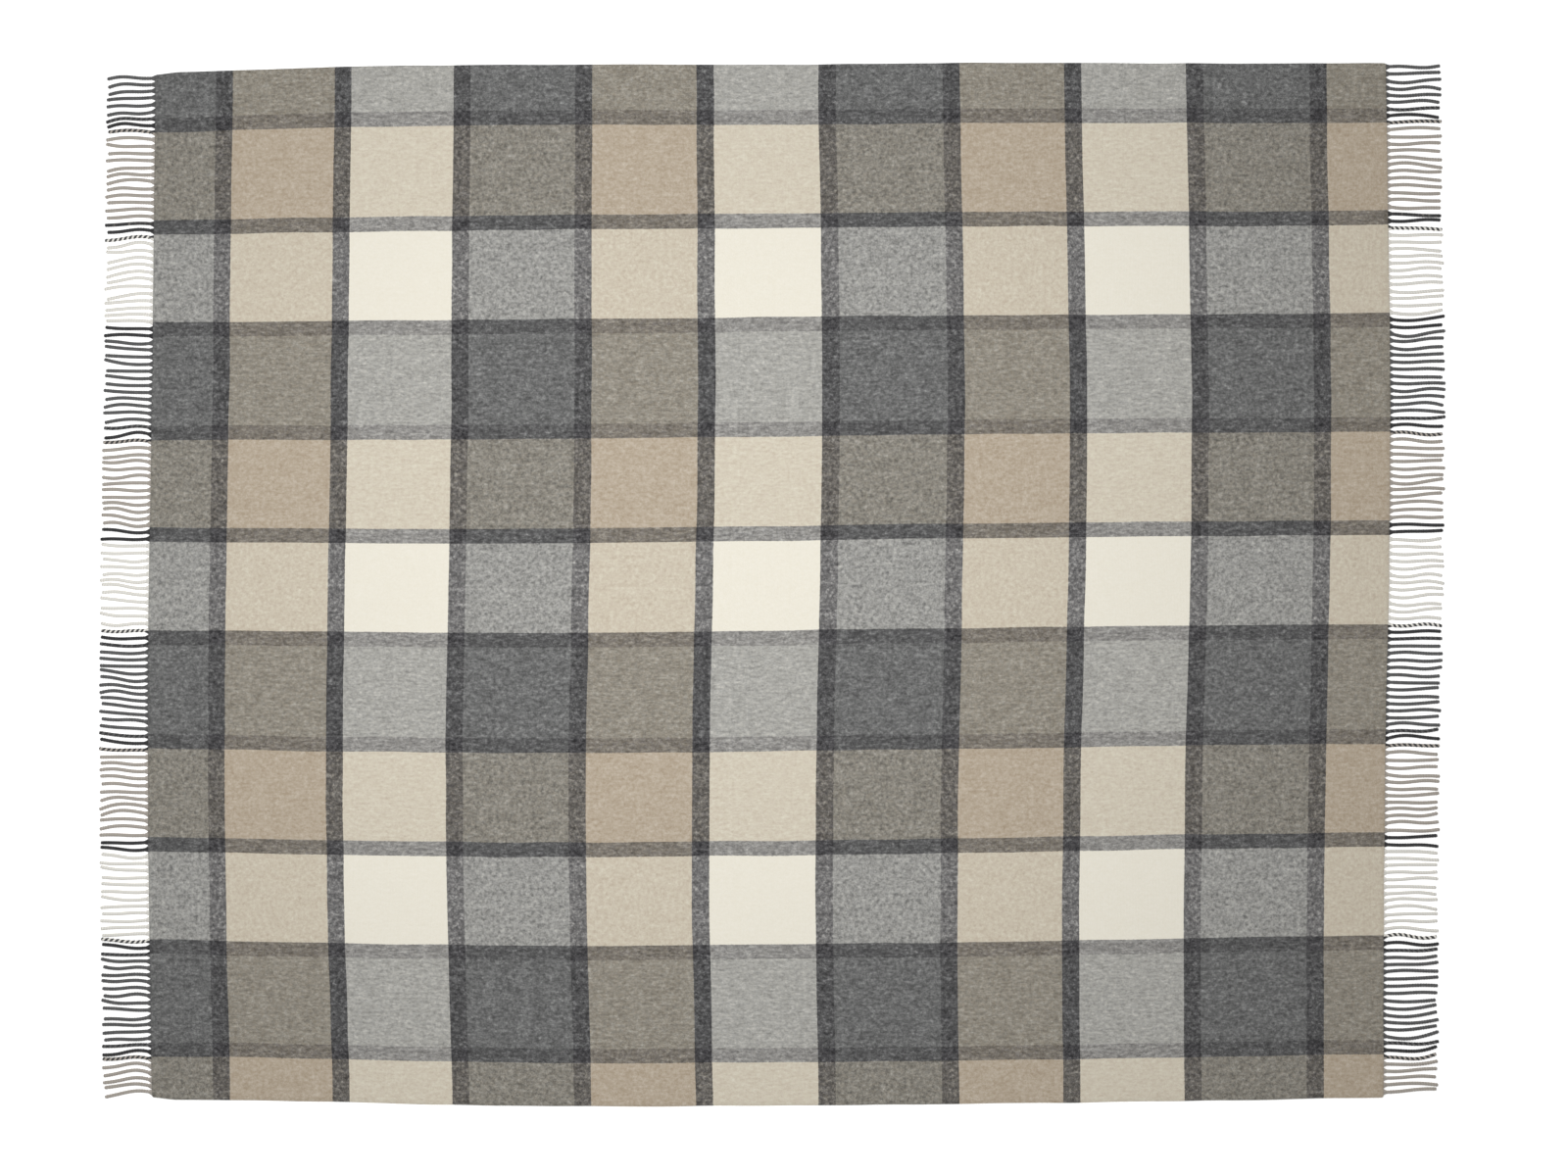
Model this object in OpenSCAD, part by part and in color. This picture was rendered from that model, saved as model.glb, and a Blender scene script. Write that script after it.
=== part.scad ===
// Fringed throw blanket in a large woven check, laid open flat.
// Millimetres. X runs along the warp from fringe to fringe, Y runs across the cloth, +Z is up.
// The origin is on the floor, under the middle of the throw.
// The warp yarns are grouped in bands. Each band ends in its own group of twisted tassels.
// The throw folds in half, fringe to fringe, about a line across its middle that runs along Y,
// half a cloth thickness above the face, so that the folded halves lie one thickness apart.

/* [Cloth] */
// Thickness of the brushed cloth
cloth_t = 3; // [2:0.5:5]
// Radius of the four corners
corner_r = 3; // [1:1:20]

/* [Check pattern, bands lying along X] */
// Width of a wide warp band
warp_wide = 120; // [80:1:160]
// Width of a narrow dark warp band
warp_narrow = 20; // [18:1:30]
// Width of the cut band at each long edge
warp_edge = 60; // [40:1:80]

/* [Check pattern, bands lying along Y] */
// Width of a wide weft band
weft_wide = 141; // [90:1:180]
// Width of a narrow dark weft band
weft_narrow = 23.5; // [15:0.5:35]
// Width of the cut band at each fringed end
weft_edge = 82; // [40:1:110]

/* [Fringe] */
// Length of one tassel
tassel_len = 66; // [40:1:100]
// Outside diameter of one tassel, twisted from two plies
tassel_d = 4; // [2:0.1:4.4]
// Distance from one tassel to the next
tassel_pitch = 9.57; // [9:0.01:14]

/* [Fold] */
// Gap between the two halves at the fold line
fold_gap = 0.4; // [0.2:0.1:1]

/* [Hidden] */
// Colours of the yarns, in the order that the warp bands repeat from the +Y edge
YARNS = ["charcoal", "dark", "beige", "dark", "cream", "dark"];
YARN_RGB = ["#706f70", "#49484b", "#b9ab9a", "#49484b", "#e9e4d8", "#49484b"];
CLOTH_RGB = "#98928a";
// 21 bands: a cut band, then narrow and wide in turn, then a cut band
bands = 21;
last = bands - 1;
wides = (bands - 3) / 2;
narrows = (bands - 1) / 2;
cloth_w = wides * warp_wide + narrows * warp_narrow + 2 * warp_edge;
cloth_l = wides * weft_wide + narrows * weft_narrow + 2 * weft_edge;
// The outermost tassels stand on the straight part of the end, clear of the round corners
tassel_margin = corner_r + tassel_d / 2;
tassels = floor((cloth_w - 2 * tassel_margin) / tassel_pitch) + 1;

// Width of warp band k, counted from the +Y edge
function band_w(k) = (k == 0 || k == last) ? warp_edge : k % 2 == 1 ? warp_narrow : warp_wide;
// Y of the far edge of warp band k
function band_top(k) = k == 0 ? cloth_w / 2 : band_top(k - 1) - band_w(k - 1);
// Y of tassel i, counted from the +Y edge
function tassel_y(i) = cloth_w / 2 - tassel_margin - i * tassel_pitch;
// Tassels that grow out of warp band k
function band_tassels(k) =
    let (top = band_top(k), bottom = top - band_w(k))
    [for (i = [0 : tassels - 1]) if (tassel_y(i) <= top && tassel_y(i) > bottom) tassel_y(i)];
// Node name of the tassels of warp band k
function fringe_name(side, k) =
    str(side, "_fringe_", k + 1 < 10 ? "0" : "", k + 1, "_", YARNS[k % len(YARNS)]);

// Outline of the half of the cloth on the +X side, square at the fold and round at the corners
module half_outline() {
    half_l = cloth_l / 2;
    half_w = cloth_w / 2;
    translate([fold_gap / 2, -half_w + corner_r])
        square([half_l - fold_gap / 2, cloth_w - 2 * corner_r]);
    translate([fold_gap / 2, -half_w])
        square([half_l - fold_gap / 2 - corner_r, cloth_w]);
    for (side = [-1, 1])
        translate([half_l - corner_r, side * (half_w - corner_r)])
            circle(r = corner_r, $fn = 48);
}

// One half of the cloth, dir is 1 for +X and -1 for -X
module cloth_half(dir) {
    color(CLOTH_RGB)
        mirror([dir < 0 ? 1 : 0, 0, 0])
            linear_extrude(height = cloth_t)
                half_outline();
}

module cloth_left_half() { cloth_half(-1); }

module cloth_right_half() { cloth_half(1); }

// One tassel, lying along +X from the end of the cloth, cut off blunt
module tassel() {
    rotate([0, 90, 0])
        cylinder(d = tassel_d, h = tassel_len, $fn = 24);
}

// The tassels of warp band k on one end of the cloth
module fringe_band(dir, k) {
    color(YARN_RGB[k % len(YARN_RGB)])
        mirror([dir < 0 ? 1 : 0, 0, 0])
            for (y = band_tassels(k))
                translate([cloth_l / 2, y, tassel_d / 2])
                    tassel();
}

cloth_left_half();
cloth_right_half();
for (k = [0 : last]) {
    fringe_band(-1, k);
    fringe_band(1, k);
}
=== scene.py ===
"""A fringed wool throw in a large woven check, laid open flat: one cloth and two rows of tassels.

The cloth is one closed mesh with a soft rim, laid in low waves. Each tassel is a two-ply cord with
its twist in the mesh.
"""
import math
import random

import bmesh
import bpy
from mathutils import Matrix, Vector, noise


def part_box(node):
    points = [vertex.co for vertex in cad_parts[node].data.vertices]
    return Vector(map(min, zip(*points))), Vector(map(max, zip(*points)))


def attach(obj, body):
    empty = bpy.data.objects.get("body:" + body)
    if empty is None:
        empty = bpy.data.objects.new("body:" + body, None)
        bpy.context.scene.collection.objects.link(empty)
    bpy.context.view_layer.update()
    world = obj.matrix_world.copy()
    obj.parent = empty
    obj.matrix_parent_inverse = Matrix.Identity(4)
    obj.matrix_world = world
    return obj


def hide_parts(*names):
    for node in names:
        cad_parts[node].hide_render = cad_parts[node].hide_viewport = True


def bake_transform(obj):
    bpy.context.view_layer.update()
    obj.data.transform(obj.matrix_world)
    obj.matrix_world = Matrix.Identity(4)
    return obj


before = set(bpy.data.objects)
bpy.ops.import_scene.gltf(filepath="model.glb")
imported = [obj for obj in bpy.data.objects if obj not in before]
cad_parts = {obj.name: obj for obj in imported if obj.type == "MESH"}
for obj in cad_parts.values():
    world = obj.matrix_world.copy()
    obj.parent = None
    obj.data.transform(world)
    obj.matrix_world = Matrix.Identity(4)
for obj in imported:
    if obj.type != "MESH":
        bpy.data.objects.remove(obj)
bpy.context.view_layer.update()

# ---------------------------------------------------------------- sizes, in metres

MM = 0.001

# The cloth, read from the frame
HALF_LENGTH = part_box("cloth_right_half")[1].x
HALF_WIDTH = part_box("cloth_right_half")[1].y
CLOTH_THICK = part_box("cloth_right_half")[1].z
CORNER_RADIUS = 0.003
CORNER_SEGMENTS = 4
RIM_RADIUS = 0.0011
RIM_SEGMENTS = 2
CLOTH_COLUMNS = 222
CLOTH_ROWS = 188

# Two places closer than this are one, and a cut uses the vertices that are this close to it
NEAR = 1e-6
CUT_SNAP = 1e-5

# The fold line crosses the middle. The cloth has extra cut loops within this distance of it.
BEND_REACH = 0.004
BEND_LOOPS = 9

# The check: one repeat is charcoal, dark, beige, dark, cream, dark, the same both ways
WARP_WIDE, WARP_NARROW, WARP_CUT = 0.120, 0.020, 0.060
WEFT_WIDE, WEFT_NARROW, WEFT_CUT = 0.141, 0.0235, 0.082
WARP_REPEAT = 3 * (WARP_WIDE + WARP_NARROW)
WEFT_REPEAT = 3 * (WEFT_WIDE + WEFT_NARROW)
WIDE_SHARE = WARP_WIDE / WARP_REPEAT
BAND_SHARE = (WARP_WIDE + WARP_NARROW) / WARP_REPEAT

# The weave: warp ends across the cloth, weft picks along it, and the weft's share of the face,
# which is larger in the narrow dark bands
YARNS_IN_WIDE = 72
END_PITCH = WARP_WIDE / YARNS_IN_WIDE
PICK_PITCH = WEFT_WIDE / YARNS_IN_WIDE
WEFT_SHARE = 0.555
DARK_WEFT_EXTRA = 0.085

# The fringe. A tassel is a little lower than it is wide, and its length varies by these shares.
TASSEL_PITCH = 0.00957
LEFT_LENGTH, RIGHT_LENGTH = 0.064, 0.072
LENGTH_SHARES = (0.97, 1.03)
TASSEL_RADIUS = 0.0026
TASSEL_SAG = 0.82
TASSEL_SIDES = 8
TASSEL_RINGS = 84
# Its two plies: the share of the radius left in the groove between them, and their twist. They
# have a first turn by chance, in radians, which comes in over its reach.
PLY_WAIST = 0.72
TWIST_PITCH = 0.0069
TWIST_SHARES = (0.95, 1.06)
TWIST_START = 0.003
TWIST_REACH = 0.008
FIRST_TURN = 0.4
FIRST_TURN_REACH = 0.01
# Its root starts inside the cloth, wide and flat, and takes its yarns from a little on its +Y side
ROOT_DEPTH = 0.0025
ROOT_SPREAD = 0.0042
ROOT_GATHER = 0.005
ROOT_SQUASH = 0.35
YARN_SHIFT = 0.0025
# Its tip narrows by a share of the radius over the last stretch
TIP_TAPER = 0.35
TIP_REACH = 0.0012
# It comes down to this far over the floor within a distance from the cloth
FLOOR_GAP = 0.0001
DROP_REACH = 0.018
# Its lean by chance, and the least distance between two tips
LEAN_CHANCE = 0.0028
TIP_SPACING = 0.0054
SPREADING_ROUNDS = 40
# Its bow to one side and its S-shaped sway, by chance and shared with its neighbours. The shared
# part changes along the fringe, and the two fringes read it far apart.
BOW_MEAN, BOW_CHANCE, BOW_SHARED = 0.0004, 0.0007, 0.0045
BOW_AGAINST_LEAN = 0.25
SWAY_CHANCE, SWAY_SHARED = 0.0004, 0.0030
SHARED_CURVES_A_METRE = 20
FRINGES_APART = 4
# Half the step over which the direction of its centreline is taken
HALF_STEP = 0.0005

# The view from straight above
VIEW_WIDTH = 2.105
VIEW_CENTRE = (0.021, -0.003)
LENS_MM = 85
SENSOR_MM = 36


# ---------------------------------------------------------------- how the throw lies

# How far the cloth, spread by hand, lies from a true rectangle, in mm at even steps: a row runs
# from the -X end to the +X end, and the first row is the +Y edge
DRIFT_ALONG = (
    (11.5, 6.1, 0.9, -2.8, -3.7, -3.5, -3.9, -4.2, -5.0),
    (9.2, 2.6, -1.5, -3.2, -1.3, 1.0, 0.2, -0.5, -2.0),
    (6.5, 0.2, -3.1, -3.1, 0.1, 3.7, 3.9, 3.6, 0.5),
    (2.8, -3.3, -6.5, -6.5, -3.1, 0.3, 1.5, 1.5, -1.3),
    (1.3, -5.9, -10.2, -10.6, -7.9, -4.7, -3.9, -4.5, -5.8),
    (3.2, -2.9, -7.6, -9.5, -7.9, -6.0, -6.8, -7.6, -8.4),
    (7.3, 2.9, -1.2, -3.7, -3.7, -3.4, -5.0, -6.7, -8.6),
)
DRIFT_ACROSS = (
    (-11.5, -5.0, -1.4, -0.8, -0.9, 1.0, 1.7, 0.7, 0.9),
    (-8.4, -5.5, -3.1, -1.0, 0.2, 2.2, 3.2, 3.4, 5.2),
    (-4.7, -3.6, -3.1, -1.2, 1.3, 3.7, 5.2, 6.1, 7.9),
    (0.1, -1.4, -2.5, -2.2, 0.6, 3.5, 5.9, 7.7, 8.8),
    (3.0, -0.3, -2.5, -3.4, -0.9, 1.6, 5.0, 7.6, 9.1),
    (5.6, 1.7, -1.8, -2.9, -1.3, 1.1, 4.6, 8.5, 11.2),
    (10.8, 8.5, 3.5, 1.4, 2.4, 4.5, 6.7, 10.1, 13.3),
)
# Ripples on top of that, in mm along X and along Y, and how many of them there are in a metre
# along the way they push and across it
RIPPLE_ALONG, RIPPLE_ACROSS = 0.9, 1.1
RIPPLES_LENGTHWISE, RIPPLES_CROSSWISE = 9, 14
# How far the two corners at the -X end are drawn in along Y, in mm, and over what distance
CORNER_TUCK = 3.2
CORNER_REACH = 0.035
# The height of the waves that the cloth lies in, and each wave: its share of that height, its
# radians a metre along X and along Y, and its phase along Y. The last one is in the belt along
# each long edge, which is a share of the half width.
WAVE_HEIGHT = 0.0010
WAVES = ((0.34, 6.1, 4.0, 0.6), (0.22, 13.7, 3.1, -1.3), (0.14, 22.3, 11.0, 2.2))
EDGE_WAVE = (0.30, 31.0, 2.0, 0.4)
EDGE_BELT = 0.1
# Which smooth noise each thing follows
FACE_KIND, BOW_KIND, ALONG_KIND, ACROSS_KIND, SWAY_KIND = 0.0, 0.5, 1.5, 7.5, 9.5
# The brushed face isn't quite even
FACE_UNEVEN = 0.00012
FACE_GRAINS = (60, 60, 200)
# How far the tips of the tassels lean towards +Y, in mm at even steps from the +Y edge down
LEFT_LEANS = (
    *(-4, -5, 2, -5, -1, -2, -6, -1, 4, 1, -2, -1, 2, 2, 0),
    *(4, 1, 3, 4, 3, 1, -2, 2, 2, -1, 2, 3, -1, -2, -4),
)
RIGHT_LEANS = (
    *(2, -1, 2, -2, -1, -1, 0, 2, 0, -2, 1, 1, 3, 1, -1),
    *(1, 1, -1, 1, 1, 0, 2, 0, 0, 0, 1, 1, 2, 5, 2),
)


def smooth(t):
    """0 to 1 with level ends."""
    t = min(1.0, max(0.0, t))
    return t * t * (3 - 2 * t)


def curve_weights(place, count):
    """The entries and weights that a Catmull-Rom curve through count even steps reads at a place."""
    first = min(max(int(place), 0), count - 2)
    t = place - first
    weights = (
        (-t**3 + 2 * t**2 - t) / 2,
        (3 * t**3 - 5 * t**2 + 2) / 2,
        (-3 * t**3 + 4 * t**2 + t) / 2,
        (t**3 - t**2) / 2,
    )
    return [(min(max(first + i - 1, 0), count - 1), weight) for i, weight in enumerate(weights)]


def read_curve(steps, share):
    """A row of even steps read smoothly at a share of its length."""
    return sum(w * steps[i] for i, w in curve_weights(share * (len(steps) - 1), len(steps)))


def chance(kind, x, y=0.0, z=0.0):
    """A smooth noise about zero at a place, different for each kind."""
    return noise.noise(Vector((x, y, z + kind)))


def drift(x, y):
    """How far the cloth lies from its flat place (x, y)."""
    count_x, count_y = len(DRIFT_ALONG[0]), len(DRIFT_ALONG)
    columns = curve_weights((x / HALF_LENGTH + 1) / 2 * (count_x - 1), count_x)
    rows = curve_weights((1 - y / HALF_WIDTH) / 2 * (count_y - 1), count_y)
    along = sum(r * c * DRIFT_ALONG[j][i] for j, r in rows for i, c in columns)
    across = sum(r * c * DRIFT_ACROSS[j][i] for j, r in rows for i, c in columns)
    along += RIPPLE_ALONG * chance(ALONG_KIND, x * RIPPLES_LENGTHWISE, y * RIPPLES_CROSSWISE)
    across += RIPPLE_ACROSS * chance(ACROSS_KIND, x * RIPPLES_CROSSWISE, y * RIPPLES_LENGTHWISE)
    corner = smooth((-x - HALF_LENGTH) / CORNER_REACH + 1)
    corner *= smooth((abs(y) - HALF_WIDTH) / CORNER_REACH + 1)
    across -= math.copysign(CORNER_TUCK * corner, y)
    return MM * along, MM * across


def wave(x, y, share, along, across, phase):
    """One wave at the flat place (x, y), odd about the fold line."""
    return share * math.sin(along * x) * math.cos(across * y + phase)


def rise(x, y):
    """Height of the cloth's underside over the floor at the flat place (x, y).

    The waves are odd about the fold line, so that those of one half lie in those of the other
    when the throw is folded.
    """
    edge = max(0.0, abs(y) / HALF_WIDTH - 1 + EDGE_BELT) / EDGE_BELT
    waves = sum(wave(x, y, *each) for each in WAVES) + edge**2 * wave(x, y, *EDGE_WAVE)
    return WAVE_HEIGHT * (1 + waves)


def lay(x, y, z):
    """Where a point of the flat cloth, z over its underside, comes to lie."""
    along, across = drift(x, y)
    grains = (at * scale for at, scale in zip((x, y, z), FACE_GRAINS))
    uneven = FACE_UNEVEN * chance(FACE_KIND, *grains)
    return Vector((x + along, y + across, z + rise(x, y) + uneven))


# ---------------------------------------------------------------- mesh helpers


def piece_from(bm, name, material):
    """Turns a finished bmesh into a smooth piece with one material."""
    mesh = bpy.data.meshes.new(name)
    bm.to_mesh(mesh)
    bm.free()
    mesh.polygons.foreach_set("use_smooth", [True] * len(mesh.polygons))
    mesh.materials.append(material)
    piece = bpy.data.objects.new(name, mesh)
    bpy.context.scene.collection.objects.link(piece)
    return piece


def round_off(bm, edges, radius, segments):
    """Rounds edges of a bmesh."""
    bmesh.ops.bevel(
        bm, geom=edges, offset=radius, segments=segments, profile=0.5, affect="EDGES", material=-1
    )


def is_corner(vert):
    """True for a vertex at one of the flat cloth's four corners."""
    return abs(vert.co.x) > HALF_LENGTH - NEAR and abs(vert.co.y) > HALF_WIDTH - NEAR


def is_rim(edge):
    """True for an edge between the cloth's face or underside and its side."""
    flat = [abs(face.normal.z) > 0.5 for face in edge.link_faces]
    return len(flat) == 2 and flat[0] != flat[1]


# ---------------------------------------------------------------- the cloth


def woven_cloth(material):
    """The one uncut cloth: a fine slab with round corners and a soft rim, laid in its waves."""
    bm = bmesh.new()
    bmesh.ops.create_grid(bm, x_segments=CLOTH_COLUMNS, y_segments=CLOTH_ROWS, size=1)
    bmesh.ops.scale(bm, vec=(HALF_LENGTH, HALF_WIDTH, 1), verts=bm.verts)
    top = bmesh.ops.extrude_face_region(bm, geom=bm.faces[:])["geom"]
    top_verts = [part for part in top if isinstance(part, bmesh.types.BMVert)]
    bmesh.ops.translate(bm, vec=(0, 0, CLOTH_THICK), verts=top_verts)
    bmesh.ops.recalc_face_normals(bm, faces=bm.faces)
    corners = [edge for edge in bm.edges if all(is_corner(vert) for vert in edge.verts)]
    round_off(bm, corners, CORNER_RADIUS, CORNER_SEGMENTS)
    round_off(bm, [edge for edge in bm.edges if is_rim(edge)], RIM_RADIUS, RIM_SEGMENTS)
    yarns = bm.loops.layers.uv.new("yarns")
    for face in bm.faces:
        for corner in face.loops:
            below = CLOTH_THICK - corner.vert.co.z
            corner[yarns].uv = corner.vert.co.xy * (1 + below / HALF_LENGTH)
    for vert in bm.verts:
        vert.co = lay(*vert.co)
    for loop in range(BEND_LOOPS):
        x = BEND_REACH * (2 * loop / (BEND_LOOPS - 1) - 1)
        whole = bm.verts[:] + bm.edges[:] + bm.faces[:]
        bmesh.ops.bisect_plane(bm, geom=whole, dist=CUT_SNAP, plane_co=(x, 0, 0), plane_no=(1, 0, 0))
    return piece_from(bm, "woven_cloth", material)


# ---------------------------------------------------------------- the fringe


def tassel_blank():
    """A straight eight-sided rod, one unit long, that every tassel is bent and twisted from.

    Its UV map holds the share of the length, and 1 or -1 for the ply that a face belongs to.
    """
    bm = bmesh.new()
    bmesh.ops.create_cone(
        bm, cap_ends=True, cap_tris=False, segments=TASSEL_SIDES, radius1=1, radius2=1, depth=1
    )
    bmesh.ops.translate(bm, vec=(0, 0, 0.5), verts=bm.verts)
    long_edges = [edge for edge in bm.edges if abs(edge.verts[0].co.z - edge.verts[1].co.z) > 0.5]
    bmesh.ops.subdivide_edges(bm, edges=long_edges, cuts=TASSEL_RINGS - 2, use_grid_fill=True)
    yarns = bm.loops.layers.uv.new("yarns")
    for face in bm.faces:
        ply = 1 if face.calc_center_median().x > 0 else -1
        for corner in face.loops:
            corner[yarns].uv = (corner.vert.co.z, ply)
    # groove is 0 on the crest of a ply and 1 in the groove between the plies; the yarn material
    # paints shade by it
    groove = bm.verts.layers.float.new("groove")
    for vert in bm.verts:
        vert[groove] = 1 - abs(vert.co.x)
    blank = bpy.data.meshes.new("tassel_blank")
    bm.to_mesh(blank)
    bm.free()
    return blank


def fringe_leans(steps, count, rng):
    """How far each tip leans along Y: as its neighbours do, and a little by itself, uncrossed."""
    leans = [
        MM * read_curve(steps, i / (count - 1)) + rng.uniform(-LEAN_CHANCE, LEAN_CHANCE)
        for i in range(count)
    ]
    for _ in range(SPREADING_ROUNDS):
        for i in range(count - 1):
            gap = TASSEL_PITCH + leans[i] - leans[i + 1]
            short = max(0.0, TIP_SPACING - gap)
            leans[i] += short / 2
            leans[i + 1] -= short / 2
    return leans


def tassel_line(side, y, length, lean, bow, sway):
    """The centreline of a tassel as a function of the distance from the cloth's end."""
    root = lay(side * HALF_LENGTH, y, CLOTH_THICK / 2)
    drop = TASSEL_RADIUS * TASSEL_SAG + FLOOR_GAP - root.z

    def place(s):
        t = max(0.0, s / length)
        aside = lean * t**2 + bow * math.sin(math.pi * t) + sway * math.sin(2 * math.pi * t)
        z = root.z + drop * smooth(s / DROP_REACH)
        return Vector((root.x + side * s, root.y + aside, z))

    return place


def tassel_section(s, length, angle):
    """Half the width and half the height of the twisted cord towards an angle, before its twist."""
    spread = max(0.0, 1 - max(0.0, s) / ROOT_GATHER) ** 2
    lobe = TASSEL_RADIUS * (PLY_WAIST + (1 - PLY_WAIST) * abs(math.cos(angle)))
    lobe *= 1 - TIP_TAPER * smooth((s - length) / TIP_REACH + 1)
    stretch = 1 + (ROOT_SPREAD / TASSEL_RADIUS - 1) * spread
    return lobe * stretch, lobe * (1 - ROOT_SQUASH * spread)


def twisted_tassel(bm, blank, side, y, rng, lean):
    """Adds one tassel: the blank, bent along its line and twisted, with its root in the cloth."""
    start = len(bm.verts)
    first_face = len(bm.faces)
    bm.from_mesh(blank)
    bm.verts.ensure_lookup_table()
    bm.faces.ensure_lookup_table()
    length = (RIGHT_LENGTH if side > 0 else LEFT_LENGTH) * rng.uniform(*LENGTH_SHARES)
    neighbours = (FRINGES_APART * side, SHARED_CURVES_A_METRE * y)
    bow = rng.gauss(BOW_MEAN, BOW_CHANCE) + BOW_SHARED * chance(BOW_KIND, *neighbours)
    bow -= BOW_AGAINST_LEAN * lean
    sway = rng.gauss(0, SWAY_CHANCE) + SWAY_SHARED * chance(SWAY_KIND, *neighbours)
    line = tassel_line(side, y, length, lean, bow, sway)
    turn = rng.uniform(-FIRST_TURN, FIRST_TURN)
    pitch = TWIST_PITCH * rng.uniform(*TWIST_SHARES)
    for vert in bm.verts[start:]:
        s = vert.co.z * (length + ROOT_DEPTH) - ROOT_DEPTH
        angle = math.atan2(vert.co.y, vert.co.x)
        half_width, half_height = tassel_section(s, length, angle)
        twist = 2 * math.pi * max(0.0, s - TWIST_START) / pitch * smooth(s / TWIST_REACH)
        twist += turn * smooth(s / FIRST_TURN_REACH)
        gather = smooth(s / ROOT_GATHER)
        across = half_width * math.cos(angle)
        height = half_height * math.sin(angle)
        y_off = across * math.cos(twist) - height * math.sin(twist)
        z_off = TASSEL_SAG * (across * math.sin(twist) * gather + height * math.cos(twist))
        ahead = (line(s + HALF_STEP) - line(s - HALF_STEP)).normalized()
        beside = Vector((0, 0, 1)).cross(ahead).normalized() * side
        vert.co = line(s) + beside * y_off + ahead.cross(beside).normalized() * side * z_off
    yarns = bm.loops.layers.uv["yarns"]
    for face in bm.faces[first_face:]:
        for corner in face.loops:
            share, ply = corner[yarns].uv
            along, across = HALF_LENGTH + share * length, y + YARN_SHIFT + ply * TASSEL_PITCH / 4
            corner[yarns].uv = (side * along, across)


def band_tassels(node):
    """The places along Y of the tassels that a CAD fringe node holds, from the +Y edge down."""
    low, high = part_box(node)
    rod = high.z - low.z
    count = round((high.y - low.y - rod) / TASSEL_PITCH) + 1
    return [high.y - rod / 2 - i * TASSEL_PITCH for i in range(count)]


def fringe(side, blank, material):
    """All the tassels of one end, one piece for each warp band."""
    word = "right" if side > 0 else "left"
    nodes = sorted(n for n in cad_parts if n.startswith(word + "_fringe_"))
    bands = [(node, band_tassels(node)) for node in nodes]
    rng = random.Random(word)
    steps = RIGHT_LEANS if side > 0 else LEFT_LEANS
    leans = iter(fringe_leans(steps, sum(len(places) for _, places in bands), rng))
    pieces = []
    for node, places in bands:
        bm = bmesh.new()
        bm.loops.layers.uv.new("yarns")
        bm.verts.layers.float.new("groove")
        for y in places:
            twisted_tassel(bm, blank, side, y, rng, next(leans))
        bmesh.ops.recalc_face_normals(bm, faces=bm.faces)
        piece = piece_from(bm, node.replace("_fringe_", "_tassels_"), material)
        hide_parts(node)
        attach(piece, word + "_half")
        pieces.append(piece)
    return pieces


# ---------------------------------------------------------------- shader helpers


def yarn_colour(red, green, blue):
    """An sRGB colour from 0 to 255 as the linear colour that a shader takes."""
    linear = [
        c / 12.92 if c <= 0.04045 else ((c + 0.055) / 1.055) ** 2.4
        for c in (red / 255, green / 255, blue / 255)
    ]
    return (*linear, 1)


CHARCOAL = yarn_colour(106, 106, 106)
DARK = yarn_colour(70, 69, 71)
BEIGE = yarn_colour(180, 166, 148)
CREAM = yarn_colour(232, 227, 213)
WHITE = (1, 1, 1, 1)
# The tint of a blend by how much lighter one yarn is: none, beige in dark, beige in cream, and
# cream in dark
BLEND_TINTS = (
    (0.0, WHITE),
    (0.15, (0.983, 1.0, 0.965, 1)),
    (0.33, (0.983, 1.0, 0.965, 1)),
    (0.42, WHITE),
    (0.6, (0.97, 0.983, 1.0, 1)),
)
# Colours are blended as this power of themselves. A weft less light than DARK_LIMIT is dark.
BLEND_POWER = 0.1
DARK_LIMIT = 0.1

# The noises of brushed wool: grains a metre along X, Y and Z, detail and roughness
CLOUDS = (45, 60, 1), 2.0, 0.5
FIBRES = (175, 235, 1), 4.0, 0.75
NAP = (1100, 1500, 1), 3.0, 0.65
SLUBS = {"Warp": ((80, 260, 1), 4.0, 0.7), "Weft": ((180, 160, 1), 4.0, 0.7)}
HAIRS = {"Warp": ((350, 2200, 1), 3.0, 0.6), "Weft": ((2200, 350, 1), 3.0, 0.6)}
MOTTLE = (190, 240, 1), 4.0, 0.7
FRAY = (420, 420, 1), 5.0, 0.75
YARN_FIBRES = (260, 700, 700), 3.0, 0.6
YARN_HAIRS = (600, 2600, 2600), 2.0, 0.5
# How strongly each one grains the cloth
CLOUDS_GRAIN = 0.5
FIBRES_GRAIN = 1.6
NAP_GRAIN = 1.3
SLUBS_GRAIN = 2.0
HAIRS_GRAIN = 1.3
# How much the mottle changes the weft's share, how much the fuzz adds to the relief, and how far
# the edges of the bands are frayed, in metres
MOTTLE_SHARE = 0.55
FUZZ_RELIEF = 0.9
FRAY_WIDTH = 0.0026

# The surface of the wool, with the strength and the distance of each bump
WOOL_SPECULAR = 0.15
WOOL_SHEEN, SHEEN_ROUGHNESS = 0.06, 0.6
CLOTH_BUMP = 0.45, 0.0006
CLOTH_ROUGHNESS, CLOTH_ROUGHNESS_GRAIN = 0.9, 0.15
YARN_BUMP = 0.5, 0.0003
YARN_ROUGHNESS, YARN_ROUGHNESS_GRAIN = 0.92, 0.2
# Painted shade and light: a tassel is darker and greyer than the cloth's yarns, darkest in the groove
# between its plies, a little lighter on their crests
CORD_SHADE_DARKENING = 0.12
CORD_SHADE_SATURATION = 0.5
CREST_SHADE, GROOVE_SHADE = 1.05, -0.3

# The sockets of a Mix node for numbers and of one for colours: first and second input
MIX_NUMBERS = 2, 3
MIX_COLOURS = 6, 7
MIXED_COLOUR = 2


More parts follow.
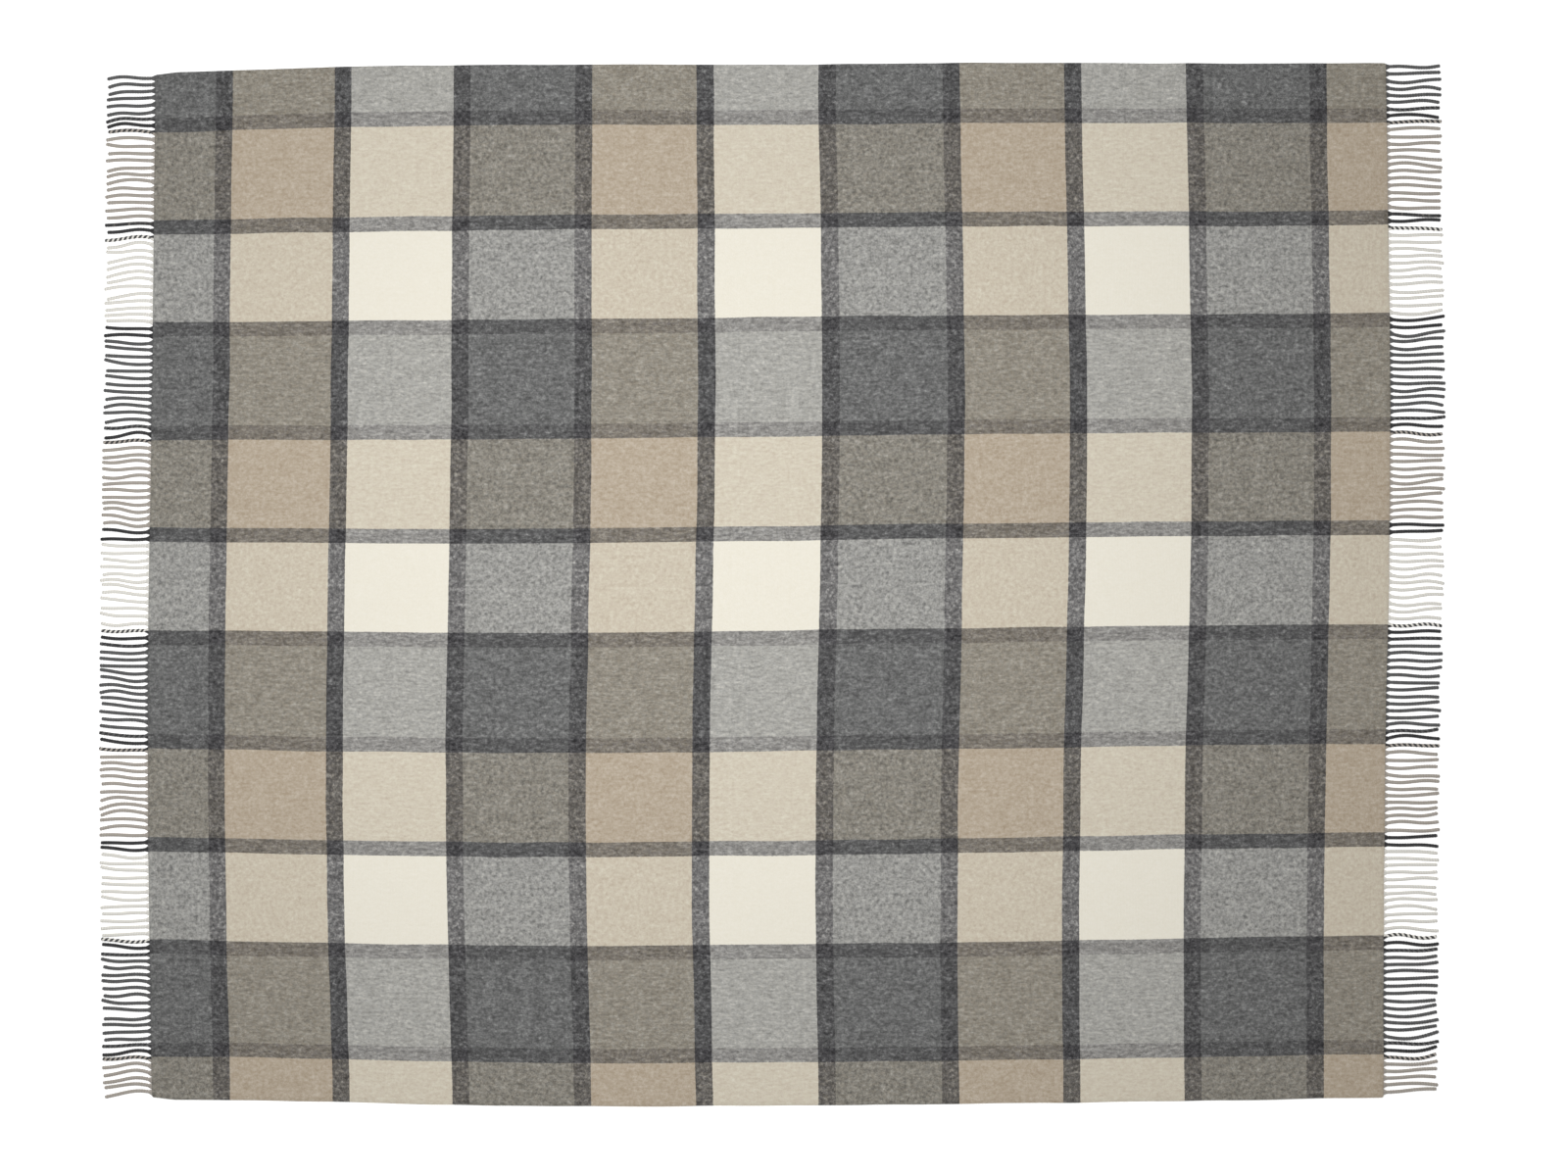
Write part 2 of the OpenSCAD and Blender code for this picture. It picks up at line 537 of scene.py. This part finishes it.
def put(tree, kind, inputs=(), **settings):
    """Adds a node, sets it, and fills its inputs, by number or name, with sockets or values."""
    made = tree.nodes.new(kind)
    for name, value in settings.items():
        setattr(made, name, value)
    for place, value in dict(inputs).items():
        if isinstance(value, bpy.types.NodeSocket):
            tree.links.new(value, made.inputs[place])
        else:
            made.inputs[place].default_value = value
    return made


def maths(tree, operation, *values):
    """The output of a Math node."""
    return put(tree, "ShaderNodeMath", enumerate(values), operation=operation).outputs[0]


def stretched_noise(tree, place, scale, detail, roughness):
    """A noise from -0.5 to 0.5 with its own number of grains a metre along each axis."""
    spread = put(tree, "ShaderNodeVectorMath", {0: place, 1: scale}, operation="MULTIPLY")
    grains = put(
        tree,
        "ShaderNodeTexNoise",
        {"Vector": spread.outputs[0], "Scale": 1.0, "Detail": detail, "Roughness": roughness},
    )
    return maths(tree, "SUBTRACT", grains.outputs[0], 0.5)


def new_group(name, inputs, outputs):
    """An empty shader group with its sockets, and its two end nodes."""
    group = bpy.data.node_groups.new(name, "ShaderNodeTree")
    for label, kind in inputs:
        group.interface.new_socket(label, in_out="INPUT", socket_type=kind)
    for label, kind in outputs:
        group.interface.new_socket(label, in_out="OUTPUT", socket_type=kind)
    return group, group.nodes.new("NodeGroupInput"), group.nodes.new("NodeGroupOutput")


def mix_colours(tree, factor, first, second, blend_type="MIX"):
    """The output of a Mix node for colours."""
    inputs = {0: factor, MIX_COLOURS[0]: first, MIX_COLOURS[1]: second}
    mixed = put(tree, "ShaderNodeMix", inputs, data_type="RGBA", blend_type=blend_type)
    return mixed.outputs[MIXED_COLOUR]


def bump(tree, shader, strength_and_distance, height):
    """Gives a shader its relief."""
    strength, distance = strength_and_distance
    relief = {"Strength": strength, "Distance": distance, "Height": height}
    made = put(tree, "ShaderNodeBump", relief)
    tree.links.new(made.outputs[0], shader.inputs["Normal"])


def band_ramp(tree, at):
    """The yarn colour at a share of the repeat: three wide bands with narrow dark ones between."""
    ramp = put(tree, "ShaderNodeValToRGB", {0: at})
    ramp.color_ramp.interpolation = "CONSTANT"
    stops = ramp.color_ramp.elements
    stops[0].color = CHARCOAL
    stops[1].position, stops[1].color = WIDE_SHARE, DARK
    for i, colour in enumerate((BEIGE, CREAM), start=1):
        stops.new(i * BAND_SHARE).color = colour
        stops.new(i * BAND_SHARE + WIDE_SHARE).color = DARK
    return ramp.outputs[0]


def sett_group():
    """The order of the yarns: the warp's and the weft's colour at a place on the flat cloth."""
    colours = [("Warp", "NodeSocketColor"), ("Weft", "NodeSocketColor")]
    group, start, end = new_group("check_sett", [("Place", "NodeSocketVector")], colours)
    place = start.outputs["Place"]
    axes = put(group, "ShaderNodeSeparateXYZ", {0: place})
    ragged = maths(group, "MULTIPLY", stretched_noise(group, place, *FRAY), FRAY_WIDTH)
    warp = maths(group, "SUBTRACT", HALF_WIDTH + WARP_WIDE - WARP_CUT, axes.outputs[1])
    weft = maths(group, "ADD", HALF_LENGTH + WEFT_WIDE - WEFT_CUT, axes.outputs[0])
    for at, repeat, label in ((warp, WARP_REPEAT, "Warp"), (weft, WEFT_REPEAT, "Weft")):
        share = maths(group, "DIVIDE", maths(group, "ADD", at, ragged), repeat)
        group.links.new(band_ramp(group, maths(group, "FRACT", share)), end.inputs[label])
    return group


def melange_group():
    """Wool of mixed fibres: grains lighten and darken a colour, the more the darker it is."""
    group, start, end = new_group(
        "wool_melange",
        [("Color", "NodeSocketColor"), ("Grain", "NodeSocketFloat")],
        [("Color", "NodeSocketColor")],
    )
    light = put(group, "ShaderNodeRGBToBW", {0: start.outputs["Color"]}).outputs[0]
    depth = maths(group, "SUBTRACT", 1.0, light)
    power = maths(group, "MULTIPLY_ADD", start.outputs["Grain"], depth, 1.0)
    grained = put(group, "ShaderNodeGamma", {0: start.outputs["Color"], 1: power})
    group.links.new(grained.outputs[0], end.inputs["Color"])
    return group


def blend_group():
    """Warp and weft colours blended fibre by fibre, where fibres of the two shade each other.

    The blend of tenth roots is darker than an even blend where one yarn is light and one is dark.
    Beige turns a little olive in a dark blend, and cream a little cooler. More weft shows where it
    is dark.
    """
    group, start, end = new_group(
        "brushed_blend",
        [("Warp", "NodeSocketColor"), ("Weft", "NodeSocketColor"), ("Weft Share", "NodeSocketFloat")],
        [("Color", "NodeSocketColor")],
    )
    yarns = start.outputs["Warp"], start.outputs["Weft"]
    roots = [put(group, "ShaderNodeGamma", {0: yarn, 1: BLEND_POWER}).outputs[0] for yarn in yarns]
    light = [put(group, "ShaderNodeRGBToBW", {0: yarn}).outputs[0] for yarn in yarns]
    dark_weft = maths(group, "LESS_THAN", light[1], DARK_LIMIT)
    share = maths(group, "MULTIPLY_ADD", dark_weft, DARK_WEFT_EXTRA, start.outputs["Weft Share"])
    mixed = mix_colours(group, share, *roots)
    blended = put(group, "ShaderNodeGamma", {0: mixed, 1: 1 / BLEND_POWER}).outputs[0]
    contrast = maths(group, "ABSOLUTE", maths(group, "SUBTRACT", *light))
    tint = put(group, "ShaderNodeValToRGB", {0: contrast})
    stops = tint.color_ramp.elements
    stops[0].color = BLEND_TINTS[0][1]
    stops[1].position, stops[1].color = BLEND_TINTS[-1]
    for position, colour in BLEND_TINTS[1:-1]:
        stops.new(position).color = colour
    tinted = mix_colours(group, 1.0, blended, tint.outputs[0], "MULTIPLY")
    group.links.new(tinted, end.inputs["Color"])
    return group


def rounded(tree, count):
    """The height of round yarns lying side by side, at a place counted in yarns."""
    return maths(tree, "ABSOLUTE", maths(tree, "SINE", maths(tree, "MULTIPLY", count, math.pi)))


def weave_group():
    """A brushed 2/2 twill: how much weft shows, the grain of each yarn, and the yarns' relief."""
    parts = ("Weft Share", "Warp Grain", "Weft Grain", "Relief")
    group, start, end = new_group(
        "brushed_twill",
        [("Place", "NodeSocketVector")],
        [(part, "NodeSocketFloat") for part in parts],
    )
    place = start.outputs["Place"]
    axes = put(group, "ShaderNodeSeparateXYZ", {0: place})
    clouds = stretched_noise(group, place, *CLOUDS)
    fibres = maths(group, "MULTIPLY", stretched_noise(group, place, *FIBRES), FIBRES_GRAIN)
    soft = maths(group, "MULTIPLY_ADD", clouds, CLOUDS_GRAIN, fibres)
    nap = stretched_noise(group, place, *NAP)
    soft = maths(group, "MULTIPLY_ADD", nap, NAP_GRAIN, soft)
    fuzz = nap
    for label in ("Warp", "Weft"):
        slubs = stretched_noise(group, place, *SLUBS[label])
        hairs = stretched_noise(group, place, *HAIRS[label])
        grain = maths(group, "MULTIPLY_ADD", slubs, SLUBS_GRAIN, soft)
        grain = maths(group, "MULTIPLY_ADD", hairs, HAIRS_GRAIN, grain)
        group.links.new(grain, end.inputs[label + " Grain"])
        fuzz = maths(group, "ADD", fuzz, hairs)
    mottle = stretched_noise(group, place, *MOTTLE)
    share = maths(group, "MULTIPLY_ADD", mottle, MOTTLE_SHARE, WEFT_SHARE)
    group.links.new(share, end.inputs["Weft Share"])
    picks = maths(group, "DIVIDE", axes.outputs[0], PICK_PITCH)
    ends = maths(group, "DIVIDE", axes.outputs[1], END_PITCH)
    turns = maths(group, "MULTIPLY", maths(group, "ADD", picks, ends), math.pi / 2)
    over = maths(group, "MULTIPLY_ADD", maths(group, "COSINE", turns), 0.5, 0.5)
    mixed = {0: over, MIX_NUMBERS[0]: rounded(group, ends), MIX_NUMBERS[1]: rounded(group, picks)}
    yarns = put(group, "ShaderNodeMix", mixed).outputs[0]
    relief = maths(group, "MULTIPLY_ADD", fuzz, FUZZ_RELIEF, yarns)
    group.links.new(relief, end.inputs["Relief"])
    return group


def new_material(name):
    """A material with its bare Principled shader."""
    material = bpy.data.materials.new(name)
    material.use_nodes = True
    return material, material.node_tree, material.node_tree.nodes["Principled BSDF"]


def place_group(tree, group, **inputs):
    """Puts a shader group in a material."""
    made = tree.nodes.new("ShaderNodeGroup")
    made.node_tree = group
    for name, value in inputs.items():
        tree.links.new(value, made.inputs[name])
    return made


def wool_surface(shader):
    """The constant part of a brushed wool surface."""
    shader.inputs["Specular IOR Level"].default_value = WOOL_SPECULAR
    shader.inputs["Sheen Weight"].default_value = WOOL_SHEEN
    shader.inputs["Sheen Roughness"].default_value = SHEEN_ROUGHNESS


def woven_material(sett, melange, blend, weave):
    """The cloth: the warp and the weft of each check, each with its grain, blended by brushing."""
    material, tree, shader = new_material("brushed_woven_wool")
    place = put(tree, "ShaderNodeUVMap", uv_map="yarns").outputs[0]
    colours = place_group(tree, sett, Place=place)
    woven = place_group(tree, weave, Place=place)
    yarns = {
        kind: place_group(
            tree, melange, Color=colours.outputs[kind], Grain=woven.outputs[kind + " Grain"]
        ).outputs[0]
        for kind in ("Warp", "Weft")
    }
    blended = place_group(tree, blend, **yarns)
    tree.links.new(woven.outputs["Weft Share"], blended.inputs["Weft Share"])
    tree.links.new(blended.outputs[0], shader.inputs["Base Color"])
    grain = woven.outputs["Weft Grain"]
    rough = maths(tree, "MULTIPLY_ADD", grain, CLOTH_ROUGHNESS_GRAIN, CLOTH_ROUGHNESS)
    tree.links.new(rough, shader.inputs["Roughness"])
    bump(tree, shader, CLOTH_BUMP, woven.outputs["Relief"])
    wool_surface(shader)
    return material


def tassel_material(sett, melange):
    """The twisted plies, each in the colour of its warp yarns, greyed and darkened as painted shade
    on the cords, with more painted shade in the groove between them.
    """
    material, tree, shader = new_material("twisted_wool_yarn")
    place = put(tree, "ShaderNodeUVMap", uv_map="yarns").outputs[0]
    colours = place_group(tree, sett, Place=place)
    groove = put(tree, "ShaderNodeAttribute", attribute_name="groove").outputs["Fac"]
    where = put(tree, "ShaderNodeTexCoord").outputs["Object"]
    grain = stretched_noise(tree, where, *YARN_FIBRES)
    # Painted shade: the added offset darkens the whole cord in the melange, beyond its grain
    grain_and_cord_shade = maths(tree, "ADD", grain, CORD_SHADE_DARKENING)
    grained = place_group(tree, melange, Color=colours.outputs["Warp"], Grain=grain_and_cord_shade)
    # Painted shade in the grooves between the plies and painted light on their crests, and greying as
    # painted shade on the cords
    shade = maths(tree, "MULTIPLY_ADD", groove, GROOVE_SHADE, CREST_SHADE)
    look = {"Saturation": CORD_SHADE_SATURATION, "Value": shade, "Color": grained.outputs[0]}
    shaded_colour = put(tree, "ShaderNodeHueSaturation", look)
    tree.links.new(shaded_colour.outputs[0], shader.inputs["Base Color"])
    rough = maths(tree, "MULTIPLY_ADD", grain, YARN_ROUGHNESS_GRAIN, YARN_ROUGHNESS)
    tree.links.new(rough, shader.inputs["Roughness"])
    bump(tree, shader, YARN_BUMP, stretched_noise(tree, where, *YARN_HAIRS))
    wool_surface(shader)
    return material


# ---------------------------------------------------------------- floor, light and camera

# The floor reaches this far from the middle, and glows a little so that it looks white
FLOOR_REACH = 40
FLOOR_LOOK = {
    "Base Color": (0.93, 0.93, 0.93, 1),
    "Roughness": 0.9,
    "Specular IOR Level": 0.1,
    "Emission Color": WHITE,
    "Emission Strength": 0.45,
}
SKY_STRENGTH = 0.31
LAMP_DISK, LAMP_WATTS = 2.0, 38.2
LAMP_PLACE = (-0.2, 0.2, 1.9)


def studio_floor():
    """A plain white floor under the throw."""
    bm = bmesh.new()
    bmesh.ops.create_grid(bm, x_segments=1, y_segments=1, size=FLOOR_REACH)
    material, _, shader = new_material("studio_floor")
    for name, value in FLOOR_LOOK.items():
        shader.inputs[name].default_value = value
    piece_from(bm, "studio_floor", material)


def studio_light():
    """A dim white sky, and one large soft light over the throw, a little to its -X, +Y corner."""
    world = bpy.data.worlds.new("white_studio")
    world.use_nodes = True
    sky = world.node_tree.nodes["Background"]
    sky.inputs["Color"].default_value = WHITE
    sky.inputs["Strength"].default_value = SKY_STRENGTH
    bpy.context.scene.world = world
    soft = bpy.data.lights.new("soft_light", "AREA")
    soft.shape, soft.size, soft.energy = "DISK", LAMP_DISK, LAMP_WATTS
    lamp = bpy.data.objects.new("soft_light", soft)
    lamp.location = LAMP_PLACE
    lamp.rotation_euler = (-lamp.location).to_track_quat("-Z", "Y").to_euler()
    lamp.visible_camera = False
    bpy.context.scene.collection.objects.link(lamp)


def overhead_camera():
    """The camera looks straight down, with +X to the right and +Y up in the picture."""
    lens = bpy.data.cameras.new("overhead_camera")
    lens.lens, lens.sensor_width = LENS_MM, SENSOR_MM
    camera = bpy.data.objects.new("overhead_camera", lens)
    camera.location = (*VIEW_CENTRE, VIEW_WIDTH * LENS_MM / SENSOR_MM)
    bpy.context.scene.collection.objects.link(camera)
    bpy.context.scene.camera = camera
    bpy.context.scene.view_settings.view_transform = "Standard"


# ---------------------------------------------------------------- put together

overhead_camera()
studio_light()
studio_floor()

check_sett, wool_melange = sett_group(), melange_group()
cloth = woven_cloth(woven_material(check_sett, wool_melange, blend_group(), weave_group()))
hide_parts("cloth_left_half", "cloth_right_half")
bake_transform(cloth)

blank_rod = tassel_blank()
yarn = tassel_material(check_sett, wool_melange)
tassels = fringe(-1, blank_rod, yarn) + fringe(1, blank_rod, yarn)
bpy.data.meshes.remove(blank_rod)
